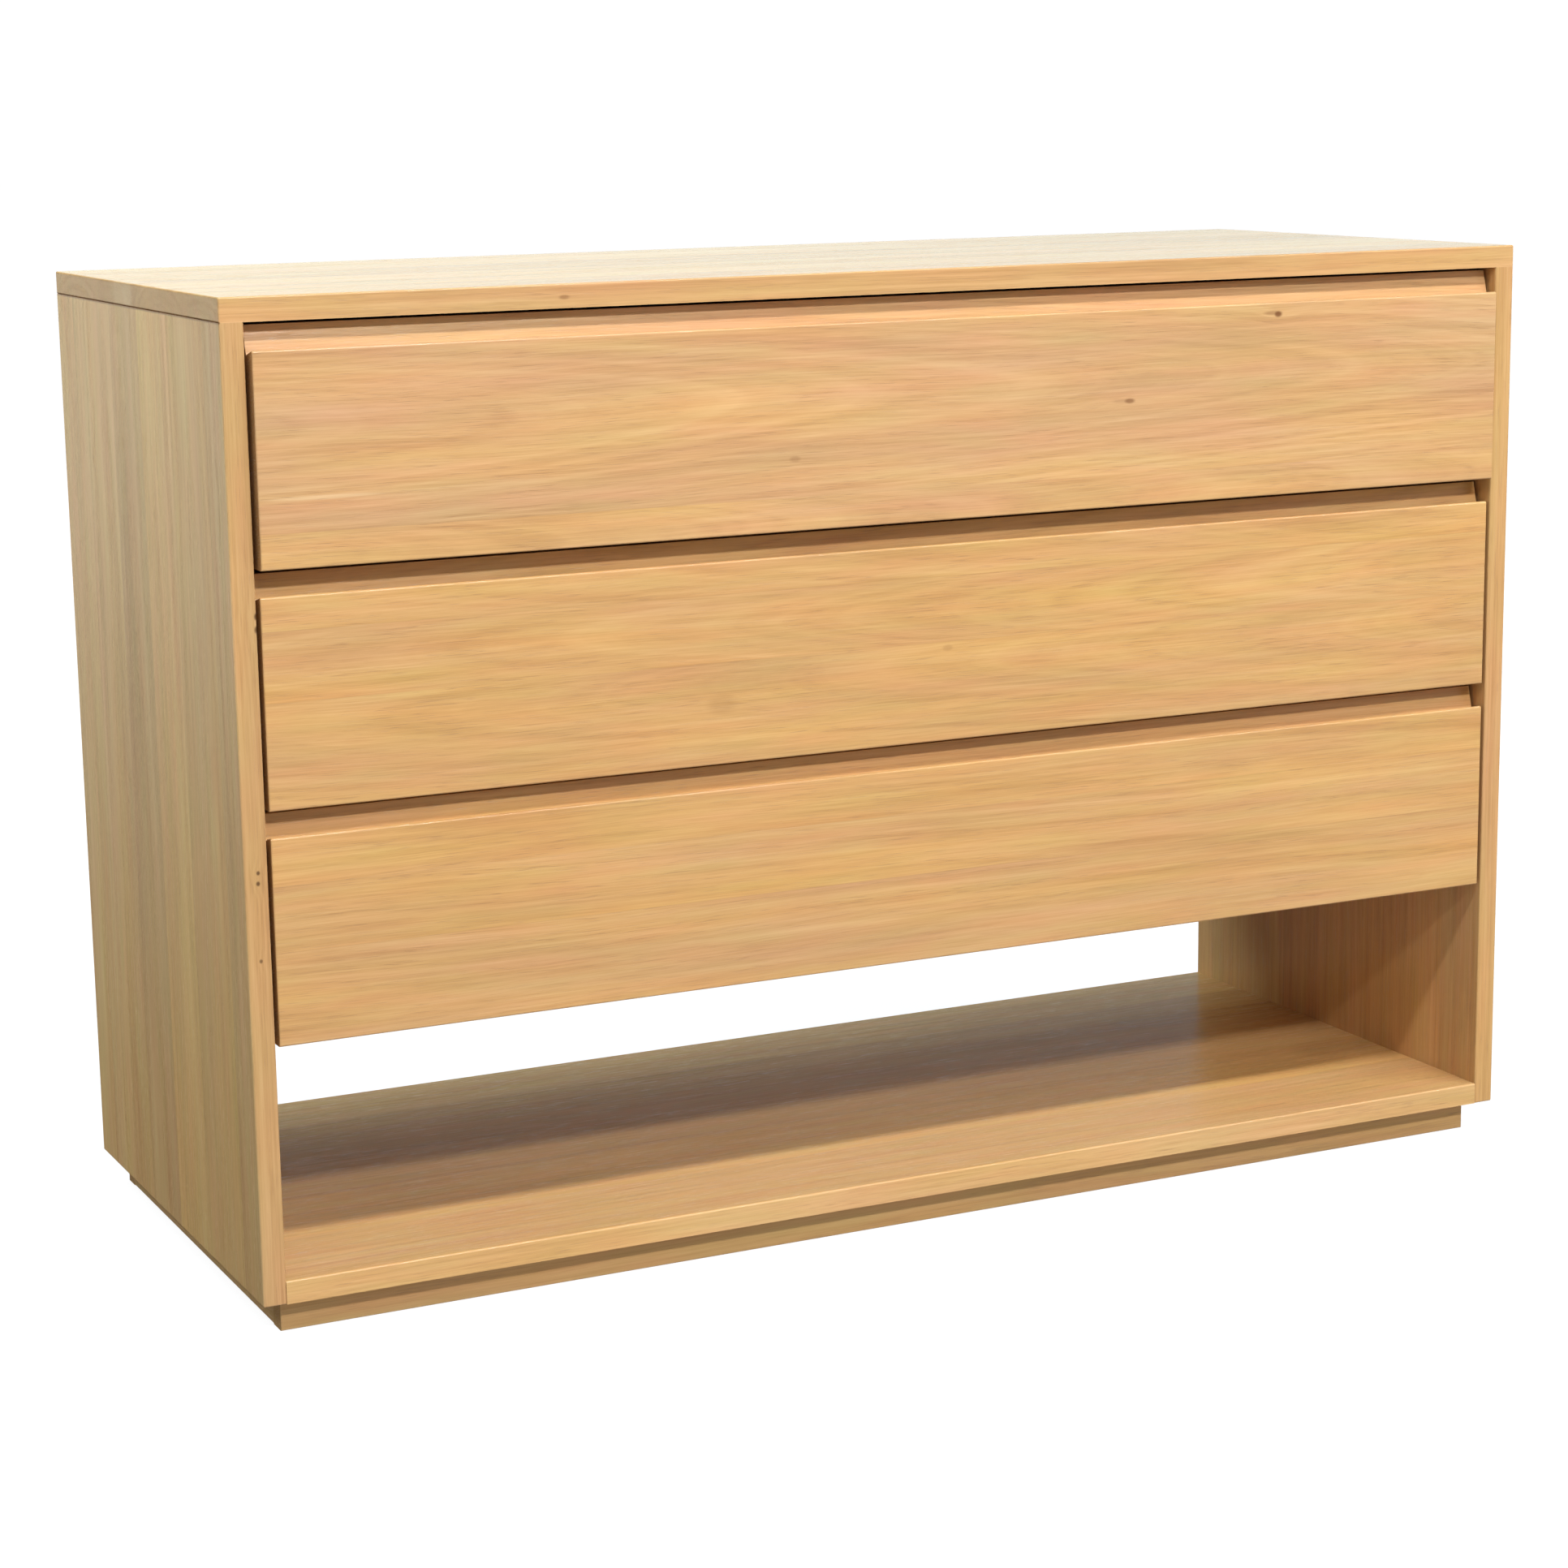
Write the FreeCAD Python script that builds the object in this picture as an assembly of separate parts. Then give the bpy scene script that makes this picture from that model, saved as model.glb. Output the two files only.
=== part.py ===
import FreeCAD, Part
import math
import os

# Oak chest of drawers: three wide inset drawers above an open shelf, on a recessed plinth.
# Millimetres. +X is to the right seen from the front, -Y is the front and +Z is up.
# The origin is on the floor, below the middle of the carcass.

# Carcass
WIDTH = 1250.0
DEPTH = 500.0
HEIGHT = 860.0
TOP_THICKNESS = 20.0
SIDE_THICKNESS = 20.0
SHELF_THICKNESS = 20.0
EDGE_EASE = 1.5               # radius on the edges that hands and light reach
SHELF_NOSE = 2.0              # radius on the shelf's front top edge

# Plinth
PLINTH_HEIGHT = 30.0
PLINTH_INSET = 20.0           # set back under the front and the sides of the carcass
PLINTH_REAR_INSET = 12.0      # set back under its rear
PLINTH_BOARD = 20.0           # thickness of its boards
BRACE_WIDTH = 60.0            # board across the middle of the plinth
CORNER_BLOCK_LEG = 45.0       # legs of the triangular blocks in the plinth's corners
CORNER_BLOCK_LIFT = 3.0       # the blocks clear the floor by this much

# Back
BACK_THICKNESS = 6.0
BACK_LAP = 10.0               # how far the back panel laps onto the sides and the top
BACK_EDGE_GAP = 0.5           # between the back panel's edges and its rebates
RAIL_HEIGHT = 60.0
RAIL_THICKNESS = 20.0

# Drawer fronts
FRONT_HEIGHT = 175.0          # from the lower edge to the lip
FINGER_GAP = 21.5             # opening above each lip
FRONT_THICKNESS = 28.0
FRONT_SIDE_GAP = 3.5          # between a front's ends and the side panels
TOP_RUNNING_GAP = 3.0         # between the upper front's tongue and the top
FRONT_RUNNING_GAP = 5.5       # between a front's tongue and the front above it
TONGUE_THICKNESS = 6.5        # at its top edge, behind the finger groove
GROOVE_TILT = 15.0            # degrees by which the finger groove leans back
LIP_RADIUS = 2.0
UPPER_DRAWER_AJAR = 7.0       # the upper drawer stands open by this much

# Drawer boxes
BOX_SIDE_THICKNESS = 15.0
BOX_BACK_THICKNESS = 15.0
BOX_LIFT = 14.0               # lower edge of the box above the front's lower edge
BOX_DROP = 21.0               # upper edge of the box below the front's lip
BOX_REAR_GAP = 26.0           # between the box and the rear rail
BOX_TOP_ROUND = 3.0           # radius on the upper edges of the sides and the back
BOTTOM_THICKNESS = 8.0
BOTTOM_LIFT = 12.0            # underside of the bottom above the box's lower edge
BOTTOM_GROOVE = 6.0           # depth of the grooves that hold the bottom
BOTTOM_PLAY = 0.3             # between the bottom and its grooves

# Telescopic slides
SLIDE_SPACE = 12.7            # between a side panel and a drawer box
SLIDE_HEIGHT = 45.0
SLIDE_SHEET = 1.2             # thickness of the steel
SLIDE_PLAY = 0.4              # running gap between two rails
SLIDE_SETBACK = 4.0           # front end of the rails behind the drawer front
SLIDE_STEP = 50.0             # slides come in lengths that are whole steps
SLIDE_RISE = 58.0             # middle of the slide above the box's lower edge
SLIDE_SCREW_MARGIN = 40.0     # first and last screw from the ends of a rail

# Dowels and screws
DOWEL_DIAMETER = 8.0
DOWEL_PLAY = 0.1              # radial, filled with glue
DOWEL_END_GAP = 1.0           # each hole is deeper than its dowel by this much
DOWEL_SHORT_END = 11.0        # end in the face of a board
BOX_DOWEL_SHORT_END = 9.0     # the same in the thinner boards of a drawer
DOWEL_LONG_END = 24.0         # end in the edge of a board
DOWEL_MARGIN = 60.0           # first and last dowel from the front and back of the carcass
BOX_DOWEL_MARGIN = 32.0       # first and last dowel from the edges of a drawer's boards
RAIL_DOWEL_MARGIN = 16.0      # dowels from the edges of the rear rail
SCREW_DIAMETER = 3.5
SCREW_HEAD_DIAMETER = 7.0
SCREW_HEAD_HEIGHT = 2.0
SCREW_LENGTH = 14.0
SCREW_TIP = 3.0               # length of the point
SCREW_TIP_DIAMETER = 0.9      # at the end of the point
SCREW_PLAY = 0.1              # around a screw in its hole
SCREW_SLOT_WIDTH = 0.8        # arms of the cross in the head
SCREW_SLOT_LENGTH = 3.6
SCREW_SLOT_DEPTH = 0.9
PLINTH_SCREW_BITE = 12.0      # how far the plinth's screws reach into the shelf
BACK_SCREW_MARGIN = 80.0      # first and last screw from the edges of the back panel

# How many of each
CARCASS_DOWELS = 5            # along each joint of the top and the shelf with a side
RAIL_DOWELS = 2               # at each end of the rear rail
BOX_DOWELS = 3                # at each corner of a drawer
SLIDE_SCREWS = 3              # along each rail
BACK_ROW_SCREWS = 6
BACK_COLUMN_SCREWS = 4

# Two places closer than this are the same place
SAME_PLACE = 1e-4

# Planes that several pieces share
half_width = WIDTH / 2
inside = half_width - SIDE_THICKNESS
front = -DEPTH / 2
rear = DEPTH / 2
under_top = HEIGHT - TOP_THICKNESS
shelf_top = PLINTH_HEIGHT + SHELF_THICKNESS
back_face = rear - BACK_THICKNESS
rail_face = back_face - RAIL_THICKNESS
plinth_half = half_width - PLINTH_INSET
plinth_front_face = front + PLINTH_INSET
plinth_rear_face = rear - PLINTH_REAR_INSET
plinth_room = (plinth_front_face + PLINTH_BOARD, plinth_rear_face - PLINTH_BOARD)
drawer_names = ("upper", "middle", "lower")
drawer_opened = (UPPER_DRAWER_AJAR, 0.0, 0.0)
drawer_gaps = (TOP_RUNNING_GAP, FRONT_RUNNING_GAP, FRONT_RUNNING_GAP)
drawer_pitch = FRONT_HEIGHT + FINGER_GAP
bay_top = under_top - len(drawer_names) * drawer_pitch

# Planes of a closed drawer
front_half = inside - FRONT_SIDE_GAP
front_back = front + FRONT_THICKNESS
box_half = inside - SLIDE_SPACE
box_inside = box_half - BOX_SIDE_THICKNESS
box_rear = rail_face - BOX_REAR_GAP
box_back_face = box_rear - BOX_BACK_THICKNESS
box_height = FRONT_HEIGHT - BOX_LIFT - BOX_DROP
slide_start = front_back + SLIDE_SETBACK
slide_length = SLIDE_STEP * math.floor((box_rear - slide_start) / SLIDE_STEP)
slide_end = slide_start + slide_length

parts = {}


def vector(x, y, z):
    return FreeCAD.Vector(x, y, z)


def near(a, b):
    return abs(a - b) < SAME_PLACE


def spread(count, first, last):
    """Evenly spaced places from first to last."""
    step = (last - first) / (count - 1)
    return [first + step * index for index in range(count)]


def block(x, y, z):
    """Box between the two ends given for each axis."""
    size = [abs(high - low) for low, high in (x, y, z)]
    return Part.makeBox(size[0], size[1], size[2], vector(min(x), min(y), min(z)))


def rounded(shape, radius, wanted):
    """Round the edges whose middle point is wanted."""
    edges = [edge for edge in shape.Edges if wanted(edge.CenterOfMass)]
    return shape.makeFillet(radius, edges)


def rod(point, axis, start, end, radius):
    """Cylinder along an axis through a point, between two distances from it."""
    return Part.makeCylinder(radius, end - start, point + axis * start, axis)


def dowel(point, axis, behind, ahead):
    return rod(point, axis, -behind, ahead, DOWEL_DIAMETER / 2)


def dowel_hole(point, axis, behind, ahead):
    radius = DOWEL_DIAMETER / 2 + DOWEL_PLAY
    return rod(point, axis, -behind - DOWEL_END_GAP, ahead + DOWEL_END_GAP, radius)


def screw_body(point, axis, length, play):
    """Countersunk screw whose head is flush at the point and whose shank runs along the axis."""
    shank = SCREW_DIAMETER / 2 + play
    head = Part.makeCone(SCREW_HEAD_DIAMETER / 2 + play, shank, SCREW_HEAD_HEIGHT, point, axis)
    straight = rod(point, axis, SCREW_HEAD_HEIGHT, length - SCREW_TIP, shank)
    tip_start = point + axis * (length - SCREW_TIP)
    tip = Part.makeCone(shank, SCREW_TIP_DIAMETER / 2 + play, SCREW_TIP + play, tip_start, axis)
    return head.fuse([straight, tip]).removeSplitter()


def screw(point, axis, length):
    """Screw with a cross cut into its head."""
    arm = Part.makeBox(SCREW_SLOT_LENGTH, SCREW_SLOT_WIDTH, 2 * SCREW_SLOT_DEPTH)
    arm.translate(vector(-SCREW_SLOT_LENGTH / 2, -SCREW_SLOT_WIDTH / 2, -SCREW_SLOT_DEPTH))
    other_arm = arm.copy()
    other_arm.rotate(vector(0, 0, 0), vector(0, 0, 1), 90)
    cross = arm.fuse(other_arm)
    cross.Placement = FreeCAD.Placement(point, FreeCAD.Rotation(vector(0, 0, 1), axis))
    return screw_body(point, axis, length, 0.0).cut(cross)


def screw_hole(point, axis, length):
    return screw_body(point, axis, length, SCREW_PLAY)


# Places of the fasteners, each a point on the joint and the axis that the fastener follows

def top_dowel_places(side):
    x = side * (half_width - SIDE_THICKNESS / 2)
    return [(vector(x, y, under_top), vector(0, 0, -1))
            for y in spread(CARCASS_DOWELS, front + DOWEL_MARGIN, rear - DOWEL_MARGIN)]


def shelf_dowel_places(side):
    z = shelf_top - SHELF_THICKNESS / 2
    return [(vector(side * inside, y, z), vector(-side, 0, 0))
            for y in spread(CARCASS_DOWELS, front + DOWEL_MARGIN, rear - DOWEL_MARGIN)]


def rail_dowel_places(side):
    y = back_face - RAIL_THICKNESS / 2
    low = bay_top + RAIL_DOWEL_MARGIN
    high = bay_top + RAIL_HEIGHT - RAIL_DOWEL_MARGIN
    return [(vector(side * inside, y, z), vector(-side, 0, 0)) for z in spread(RAIL_DOWELS, low, high)]


def back_screw_places_across(z):
    """Screws in a row across the back panel, at one height."""
    reach = inside - BACK_SCREW_MARGIN
    return [(vector(x, rear, z), vector(0, -1, 0)) for x in spread(BACK_ROW_SCREWS, -reach, reach)]


def back_screw_places_up(side):
    """Screws in a column up the back panel, into one side panel."""
    x = side * (inside + BACK_LAP / 2)
    heights = spread(BACK_COLUMN_SCREWS, bay_top + BACK_SCREW_MARGIN, under_top - BACK_SCREW_MARGIN)
    return [(vector(x, rear, z), vector(0, -1, 0)) for z in heights]


def top_back_screw_places():
    return back_screw_places_across(under_top + BACK_LAP / 2)


def rail_back_screw_places():
    return back_screw_places_across(bay_top + RAIL_HEIGHT / 2)


def slide_middle(bottom):
    return bottom + BOX_LIFT + SLIDE_RISE


def slide_screw_rows():
    return spread(SLIDE_SCREWS, slide_start + SLIDE_SCREW_MARGIN, slide_end - SLIDE_SCREW_MARGIN)


def cabinet_screw_places(side, bottom):
    """Heads flush inside the cabinet rail, points in the side panel."""
    x = side * (inside - SLIDE_SHEET)
    return [(vector(x, y, slide_middle(bottom)), vector(side, 0, 0)) for y in slide_screw_rows()]


def drawer_screw_places(side, bottom):
    """Heads flush inside the drawer rail, points in the side of the drawer box."""
    x = side * (box_half + SLIDE_SHEET)
    return [(vector(x, y, slide_middle(bottom)), vector(-side, 0, 0)) for y in slide_screw_rows()]


def box_dowel_rows(bottom):
    low = bottom + BOX_LIFT + BOX_DOWEL_MARGIN
    return spread(BOX_DOWELS, low, bottom + BOX_LIFT + box_height - BOX_DOWEL_MARGIN)


def front_dowel_places(side, bottom):
    x = side * (box_half - BOX_SIDE_THICKNESS / 2)
    return [(vector(x, front_back, z), vector(0, 1, 0)) for z in box_dowel_rows(bottom)]


def back_dowel_places(side, bottom):
    y = box_rear - BOX_BACK_THICKNESS / 2
    return [(vector(side * box_inside, y, z), vector(-side, 0, 0)) for z in box_dowel_rows(bottom)]


def carcass_holes(places):
    return [dowel_hole(point, axis, DOWEL_SHORT_END, DOWEL_LONG_END) for point, axis in places]


def box_holes(places):
    return [dowel_hole(point, axis, BOX_DOWEL_SHORT_END, DOWEL_LONG_END) for point, axis in places]


def screw_holes(places):
    return [screw_hole(point, axis, SCREW_LENGTH) for point, axis in places]


def front_bottoms():
    """Height of each drawer front's lower edge, from the upper drawer down."""
    return [under_top - drawer_pitch * (index + 1) for index in range(len(drawer_names))]


# Carcass

def back_rebate():
    """Space that the back panel takes out of the top and the sides."""
    lap = inside + BACK_LAP
    return block((-lap, lap), (back_face, rear), (bay_top, under_top + BACK_LAP))


def top_panel():
    """Board over both sides, flush with them along the front and the back."""
    panel = block((-half_width, half_width), (front, rear), (under_top, HEIGHT))
    panel = rounded(panel, EDGE_EASE, lambda middle: not (near(middle.x, 0) and near(middle.z, under_top)))
    tools = [back_rebate()] + screw_holes(top_back_screw_places())
    for side in (-1, 1):
        tools += carcass_holes(top_dowel_places(side))
    return panel.cut(tools)


def side_panel(side):
    panel = block((side * inside, side * half_width), (front, rear), (PLINTH_HEIGHT, under_top))
    panel = rounded(panel, EDGE_EASE, lambda middle: not near(middle.z, under_top))
    tools = [back_rebate()] + screw_holes(back_screw_places_up(side))
    for places in (top_dowel_places(side), shelf_dowel_places(side), rail_dowel_places(side)):
        tools += carcass_holes(places)
    for bottom in front_bottoms():
        tools += screw_holes(cabinet_screw_places(side, bottom))
    return panel.cut(tools)


def bottom_shelf():
    shelf = block((-inside, inside), (front, rear), (PLINTH_HEIGHT, shelf_top))
    shelf = rounded(shelf, SHELF_NOSE, lambda middle: near(middle.y, front) and near(middle.z, shelf_top))
    shelf = rounded(shelf, EDGE_EASE, lambda middle: near(middle.x, 0) and near(middle.y, rear))
    tools = []
    for side in (-1, 1):
        tools += carcass_holes(shelf_dowel_places(side))
    for point, axis in plinth_screw_places():
        tools.append(screw_hole(point, axis, plinth_screw_length()))
    return shelf.cut(tools)


def back_panel():
    lap = inside + BACK_LAP - BACK_EDGE_GAP
    panel = block((-lap, lap), (back_face, rear), (bay_top, under_top + BACK_LAP - BACK_EDGE_GAP))
    places = top_back_screw_places() + rail_back_screw_places()
    places += back_screw_places_up(-1) + back_screw_places_up(1)
    return panel.cut(screw_holes(places))


def rear_rail():
    rail = block((-inside, inside), (rail_face, back_face), (bay_top, bay_top + RAIL_HEIGHT))
    rail = rounded(rail, EDGE_EASE, lambda middle: near(middle.x, 0) and near(middle.y, rail_face))
    tools = screw_holes(rail_back_screw_places())
    for side in (-1, 1):
        tools += carcass_holes(rail_dowel_places(side))
    return rail.cut(tools)


def carcass_dowels(place_rule):
    """Group of the dowels on both sides of the carcass that one rule places."""
    places = place_rule(-1) + place_rule(1)
    return Part.makeCompound([dowel(point, axis, DOWEL_SHORT_END, DOWEL_LONG_END) for point, axis in places])


def screw_group(places):
    return Part.makeCompound([screw(point, axis, SCREW_LENGTH) for point, axis in places])


# Plinth

def plinth_corners():
    """Inner corners of the plinth, with the signs of their sides in X and Y."""
    x = plinth_half - PLINTH_BOARD
    return [(sign_x * x, y, sign_x, sign_y)
            for sign_x in (-1, 1) for sign_y, y in zip((-1, 1), plinth_room)]


def plinth_long_board(inner_face, outer_face):
    """Board along the front or the back, between its two faces."""
    board = block((-plinth_half, plinth_half), (inner_face, outer_face), (0, PLINTH_HEIGHT))
    return rounded(board, EDGE_EASE,
                   lambda middle: near(middle.y, outer_face) and not near(middle.z, PLINTH_HEIGHT))


def plinth_short_board(side):
    """Board at the left (-1) or the right (1), between the long boards."""
    outer_face = side * plinth_half
    board = block((outer_face - side * PLINTH_BOARD, outer_face), plinth_room, (0, PLINTH_HEIGHT))
    return rounded(board, EDGE_EASE, lambda middle: near(middle.x, outer_face) and near(middle.z, 0))


def plinth_brace():
    return block((-BRACE_WIDTH / 2, BRACE_WIDTH / 2), plinth_room, (0, PLINTH_HEIGHT))


def plinth_screw_length():
    return PLINTH_HEIGHT - CORNER_BLOCK_LIFT + PLINTH_SCREW_BITE


def plinth_screw_places():
    """One screw up through each corner block, a third of the way along both legs."""
    reach = CORNER_BLOCK_LEG / 3
    return [(vector(x - sign_x * reach, y - sign_y * reach, CORNER_BLOCK_LIFT), vector(0, 0, 1))
            for x, y, sign_x, sign_y in plinth_corners()]


def plinth_corner_blocks():
    blocks = []
    holes = [screw_hole(point, axis, plinth_screw_length()) for point, axis in plinth_screw_places()]
    for x, y, sign_x, sign_y in plinth_corners():
        corner = vector(x, y, CORNER_BLOCK_LIFT)
        along_x = corner - vector(sign_x * CORNER_BLOCK_LEG, 0, 0)
        along_y = corner - vector(0, sign_y * CORNER_BLOCK_LEG, 0)
        triangle = Part.Face(Part.makePolygon([corner, along_x, along_y, corner]))
        height = PLINTH_HEIGHT - CORNER_BLOCK_LIFT
        blocks.append(triangle.extrude(vector(0, 0, height)).cut(holes))
    return Part.makeCompound([piece.Solids[0] for piece in blocks])


def plinth_screws():
    length = plinth_screw_length()
    return Part.makeCompound([screw(point, axis, length) for point, axis in plinth_screw_places()])


# Drawers, each built closed

def finger_groove(lip, gap):
    """Corner points of the groove in a front's upper edge, as (Y, Z), from the lip to the tongue."""
    tilt = math.radians(GROOVE_TILT)
    reach = FRONT_THICKNESS - TONGUE_THICKNESS
    rise = FINGER_GAP - gap
    ledge = reach * math.cos(tilt) - rise * math.sin(tilt)
    floor = (front + ledge * math.cos(tilt), lip - ledge * math.sin(tilt))
    return [(front, lip), floor, (front + reach, lip + rise)]


def bottom_groove(bottom, play):
    """Space of the drawer's bottom panel, wider than the panel by the play."""
    half = box_inside + BOTTOM_GROOVE + play
    low = bottom + BOX_LIFT + BOTTOM_LIFT
    start = front_back - BOTTOM_GROOVE - play
    return block((-half, half), (start, box_rear), (low, low + BOTTOM_THICKNESS + play))


def drawer_front(bottom, gap):
    lip = bottom + FRONT_HEIGHT
    groove = finger_groove(lip, gap)
    tongue_top = groove[-1][1]
    outline = [(front, bottom)] + groove + [(front_back, tongue_top), (front_back, bottom)]
    points = [vector(-front_half, y, z) for y, z in outline]
    board = Part.Face(Part.makePolygon(points + points[:1])).extrude(vector(2 * front_half, 0, 0))
    board = rounded(board, LIP_RADIUS, lambda middle: near(middle.y, front) and near(middle.z, lip))
    board = rounded(board, EDGE_EASE, lambda middle: near(middle.y, front) and
                    (near(middle.z, bottom) or near(abs(middle.x), front_half)))
    tools = [bottom_groove(bottom, BOTTOM_PLAY)]
    for side in (-1, 1):
        tools += box_holes(front_dowel_places(side, bottom))
    return board.cut(tools)


def box_side(side, bottom):
    low = bottom + BOX_LIFT
    high = low + box_height
    board = block((side * box_inside, side * box_half), (front_back, box_rear), (low, high))
    middle_y = (front_back + box_rear) / 2
    board = rounded(board, BOX_TOP_ROUND, lambda middle: near(middle.z, high) and near(middle.y, middle_y))
    tools = [bottom_groove(bottom, BOTTOM_PLAY)]
    tools += box_holes(front_dowel_places(side, bottom) + back_dowel_places(side, bottom))
    tools += screw_holes(drawer_screw_places(side, bottom))
    return board.cut(tools)


def box_back(bottom):
    low = bottom + BOX_LIFT + BOTTOM_LIFT + BOTTOM_THICKNESS + BOTTOM_PLAY
    high = bottom + BOX_LIFT + box_height
    board = block((-box_inside, box_inside), (box_back_face, box_rear), (low, high))
    board = rounded(board, BOX_TOP_ROUND, lambda middle: near(middle.z, high) and near(middle.x, 0))
    tools = []
    for side in (-1, 1):
        tools += box_holes(back_dowel_places(side, bottom))
    return board.cut(tools)


def box_dowels(bottom):
    places = []
    for side in (-1, 1):
        places += front_dowel_places(side, bottom) + back_dowel_places(side, bottom)
    dowels = [dowel(point, axis, BOX_DOWEL_SHORT_END, DOWEL_LONG_END) for point, axis in places]
    return Part.makeCompound(dowels)


# Telescopic slides

def channel(side, web, lip, height, bottom):
    """Steel channel along the slide; its web and its open lips are given from the middle of the chest."""
    middle = slide_middle(bottom)
    half = height / 2
    hollow = half - SLIDE_SHEET
    along = (slide_start, slide_end)
    toward_lip = math.copysign(SLIDE_SHEET, lip - web)
    outer = block((side * web, side * lip), along, (middle - half, middle + half))
    outer = rounded(outer, SLIDE_SHEET,
                    lambda point: near(point.x, side * web) and not near(point.z, middle))
    inner_x = (side * (web + toward_lip), side * (lip + toward_lip))
    return outer.cut(block(inner_x, along, (middle - hollow, middle + hollow)))


def nested_height(level):
    """Height of a rail that runs inside as many others as the level says."""
    return SLIDE_HEIGHT - 2 * level * (SLIDE_SHEET + SLIDE_PLAY)


def cabinet_rail(side, bottom):
    lip = box_half + SLIDE_SHEET + SLIDE_PLAY
    rail = channel(side, inside, lip, nested_height(0), bottom)
    return rail.cut(screw_holes(cabinet_screw_places(side, bottom)))


def telescope_rail(side, bottom):
    web = inside - SLIDE_SHEET - SLIDE_PLAY
    lip = box_half + SLIDE_SHEET + SLIDE_PLAY
    return channel(side, web, lip, nested_height(1), bottom)


def drawer_rail(side, bottom):
    lip = inside - 2 * (SLIDE_SHEET + SLIDE_PLAY)
    rail = channel(side, box_half, lip, nested_height(2), bottom)
    return rail.cut(screw_holes(drawer_screw_places(side, bottom)))


# Assembly

def add_carcass():
    parts["top_panel"] = top_panel()
    parts["left_side_panel"] = side_panel(-1)
    parts["right_side_panel"] = side_panel(1)
    parts["bottom_shelf"] = bottom_shelf()
    parts["back_panel"] = back_panel()
    parts["rear_rail"] = rear_rail()
    parts["top_dowels"] = carcass_dowels(top_dowel_places)
    parts["shelf_dowels"] = carcass_dowels(shelf_dowel_places)
    parts["rail_dowels"] = carcass_dowels(rail_dowel_places)
    places = top_back_screw_places() + rail_back_screw_places()
    parts["back_panel_screws"] = screw_group(places + back_screw_places_up(-1) + back_screw_places_up(1))
    rail_places = []
    for bottom in front_bottoms():
        rail_places += cabinet_screw_places(-1, bottom) + cabinet_screw_places(1, bottom)
    parts["cabinet_rail_screws"] = screw_group(rail_places)


def add_plinth():
    parts["plinth_front"] = plinth_long_board(plinth_room[0], plinth_front_face)
    parts["plinth_back"] = plinth_long_board(plinth_room[1], plinth_rear_face)
    parts["plinth_left"] = plinth_short_board(-1)
    parts["plinth_right"] = plinth_short_board(1)
    parts["plinth_brace"] = plinth_brace()
    parts["plinth_corner_blocks"] = plinth_corner_blocks()
    parts["plinth_screws"] = plinth_screws()


def add_drawer(name, bottom, opened, gap):
    """One drawer and its slides, moved out by a distance, with a gap above the front's tongue."""
    drawer = name + "_drawer"
    out = vector(0, -opened, 0)
    half_out = vector(0, -opened / 2, 0)
    moving = {
        "front": drawer_front(bottom, gap),
        "left_side": box_side(-1, bottom),
        "right_side": box_side(1, bottom),
        "back": box_back(bottom),
        "bottom": bottom_groove(bottom, 0.0),
        "dowels": box_dowels(bottom),
        "left_rail": drawer_rail(-1, bottom),
        "right_rail": drawer_rail(1, bottom),
        "rail_screws": screw_group(drawer_screw_places(-1, bottom) + drawer_screw_places(1, bottom)),
    }
    for piece, shape in moving.items():
        parts[f"{drawer}_{piece}"] = shape.translated(out)
    for side, word in ((-1, "left"), (1, "right")):
        parts[f"{drawer}_{word}_cabinet_rail"] = cabinet_rail(side, bottom)
        parts[f"{drawer}_{word}_telescope_rail"] = telescope_rail(side, bottom).translated(half_out)


def main():
    add_carcass()
    add_plinth()
    for name, bottom, opened, gap in zip(drawer_names, front_bottoms(), drawer_opened, drawer_gaps):
        add_drawer(name, bottom, opened, gap)
    os.makedirs("parts", exist_ok=True)
    for name, shape in parts.items():
        shape.exportStep(os.path.join("parts", name + ".step"))


main()
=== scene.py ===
import math
import random
from collections import namedtuple

import bmesh
import bpy
from mathutils import Matrix, Vector


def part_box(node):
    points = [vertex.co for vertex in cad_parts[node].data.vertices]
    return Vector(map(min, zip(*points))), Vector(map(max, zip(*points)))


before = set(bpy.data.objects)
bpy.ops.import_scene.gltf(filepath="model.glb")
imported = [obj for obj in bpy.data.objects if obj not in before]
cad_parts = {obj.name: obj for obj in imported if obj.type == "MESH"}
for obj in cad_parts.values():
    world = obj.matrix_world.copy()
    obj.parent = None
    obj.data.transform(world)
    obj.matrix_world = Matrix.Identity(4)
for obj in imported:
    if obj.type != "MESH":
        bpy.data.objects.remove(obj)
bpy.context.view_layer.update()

scene = bpy.context.scene
AXES = "xyz"
DRAWERS = ("upper", "middle", "lower")
SIDES = ("left", "right")
WHITE = (1.0, 1.0, 1.0)

# Camera, solved from the chest's own edges
CAMERA_PLACE = Vector((-1.42297, -2.90459, 1.01637))
CAMERA_TURN = math.radians(25.7927)      # to the right of straight towards the back
CAMERA_DIP = math.radians(11.3643)       # below the level
CAMERA_ROLL = math.radians(0.83975)      # the right end of the picture dips
FOCAL_LENGTH = 79.855
SENSOR_WIDTH = 36.0

# A pattern of noise: its features per metre along, across and through the board, or along a distance,
# how detailed and how rough it is, and how much it lightens and darkens the wood
Noise = namedtuple("Noise", "frequency detail roughness contrast", defaults=(0.0,))

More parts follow.
